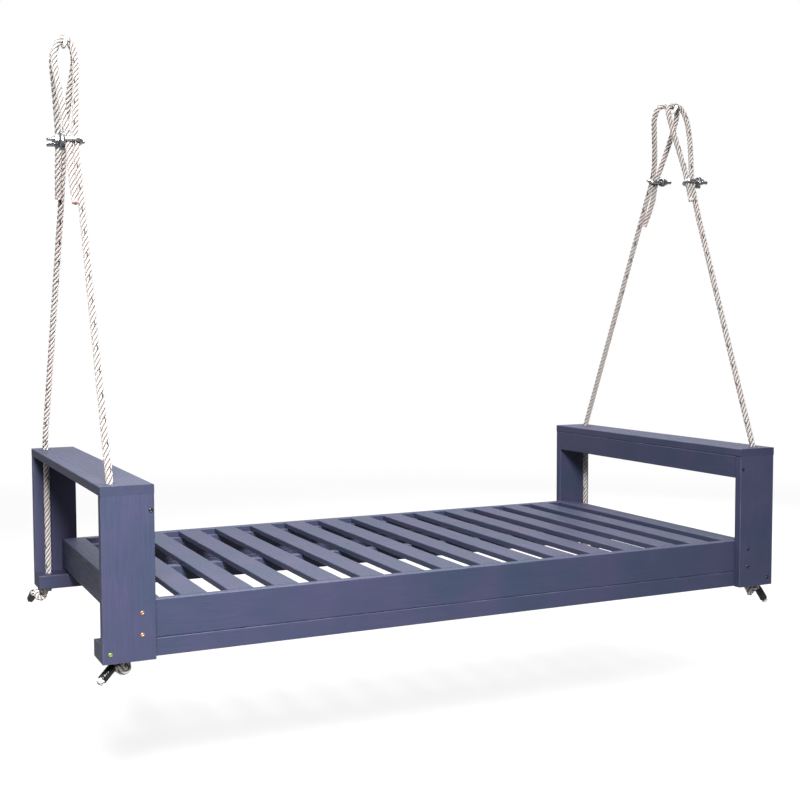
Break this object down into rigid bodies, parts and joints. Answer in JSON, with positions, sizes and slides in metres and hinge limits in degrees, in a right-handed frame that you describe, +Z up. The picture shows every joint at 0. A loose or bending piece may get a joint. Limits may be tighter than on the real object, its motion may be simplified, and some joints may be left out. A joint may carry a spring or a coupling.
{
  "type": "porch swing",
  "caption": "Porch swing bed: painted slatted deck between open-sided flat arms, hung at its corners by ropes that run through the arms, loop over a hook at each end and are clipped.",
  "frame": {"origin": "on the swing's axis, the line through the bends of both hooks, over the middle of the deck", "axes": "+X along the deck, to the right seen from the front; +Y to the back; +Z up. The swing's axis falls 30 mm over its 2195 mm towards +X"},
  "size_m": [2.3545, 1.1282, 1.8088],
  "materials": {
    "painted_wood": "slate-blue semi-gloss paint brushed over planed softwood boards",
    "rope": "laid rope of four strands, off-white with one dark tracer yarn",
    "zinc": "bright zinc-plated steel",
    "screw_head": "yellow-plated screw heads, dulled",
    "slat_screw": "screw heads under the boards' paint",
    "sleeve": "black tape wound tight round the rope's end"
  },
  "bodies": {
    "hangers": {"hook_left": "zinc", "hook_right": "zinc"},
    "swing": {"post_left_front": "painted_wood", "post_left_back": "painted_wood", "post_right_front": "painted_wood", "post_right_back": "painted_wood", "foot_block_left_front": "painted_wood", "foot_block_left_back": "painted_wood", "foot_block_right_front": "painted_wood", "foot_block_right_back": "painted_wood", "arm_left": "painted_wood", "arm_right": "painted_wood", "apron_left": "painted_wood", "apron_right": "painted_wood", "end_rail_left": "painted_wood", "end_rail_right": "painted_wood", "front_rail_upper": "painted_wood", "front_rail_lower": "painted_wood", "back_rail_upper": "painted_wood", "back_rail_lower": "painted_wood", "ledger_front": "painted_wood", "ledger_back": "painted_wood", "centre_beam": "painted_wood", "slat_01": "painted_wood", "slat_02": "painted_wood", "slat_03": "painted_wood", "slat_04": "painted_wood", "slat_05": "painted_wood", "slat_06": "painted_wood", "slat_07": "painted_wood", "slat_08": "painted_wood", "slat_09": "painted_wood", "slat_10": "painted_wood", "slat_11": "painted_wood", "slat_12": "painted_wood", "slat_13": "painted_wood", "slat_14": "painted_wood", "slat_15": "painted_wood", "slat_16": "painted_wood", "post_screws": "screw_head", "slat_screws": "slat_screw", "rope_left_front": "rope", "rope_left_back": "rope", "rope_right_front": "rope", "rope_right_back": "rope", "knot_left_front": "rope", "knot_left_back": "rope", "knot_right_front": "rope", "knot_right_back": "rope", "rope_end_sleeves": "sleeve", "clip_u_bolts": "zinc", "clip_saddles": "zinc", "clip_nuts": "zinc"}
  },
  "joints": [
    {"name": "swing", "type": "hinge", "parent": "hangers", "child": "swing", "pos_m": [0, 0, 0], "axis": [0.9999, 0, -0.0137], "range_deg": [-20, 20]}
  ]
}
